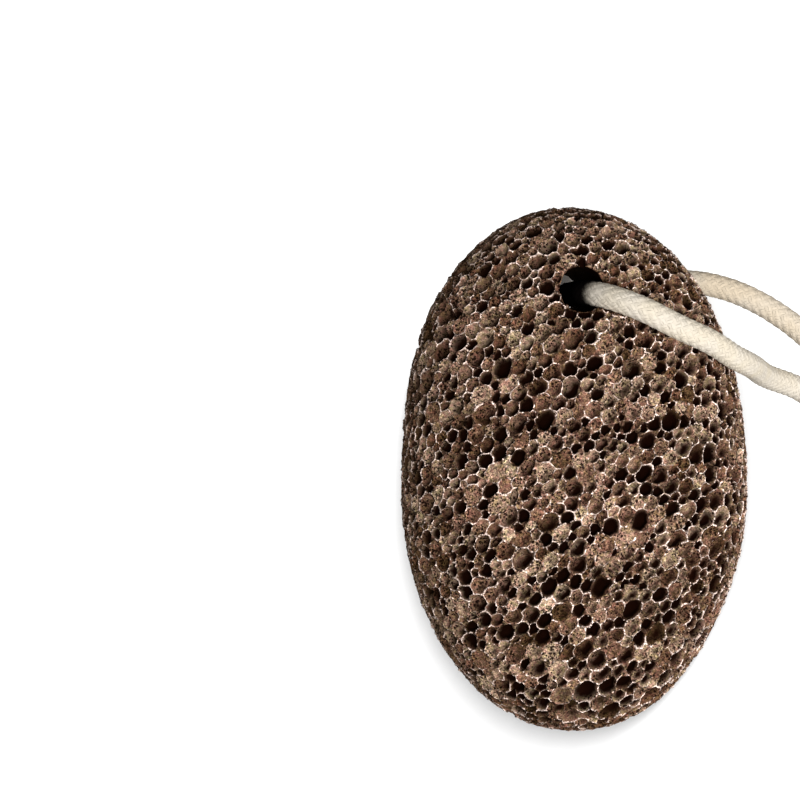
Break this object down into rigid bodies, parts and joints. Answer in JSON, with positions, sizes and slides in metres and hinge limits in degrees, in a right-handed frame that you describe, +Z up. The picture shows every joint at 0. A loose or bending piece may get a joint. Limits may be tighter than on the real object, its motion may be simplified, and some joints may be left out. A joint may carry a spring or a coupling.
{
  "type": "pumice stone",
  "caption": "Oval pitted lava pumice stone with a drilled hole and a knotted loop of braided cotton cord, lying flat.",
  "frame": {"origin": "under the middle of the stone, on the surface it rests on", "axes": "+Z up out of the stone's face, +Y along its long axis towards the drilled hole, +X towards the side where the cord lies"},
  "size_m": [0.1257, 0.1054, 0.0432],
  "materials": {
    "lava": "rough, porous, matt",
    "cotton": "braided, matt"
  },
  "bodies": {
    "root": {"stone": "lava", "cord": "cotton", "knot": "cotton"}
  },
  "joints": []
}
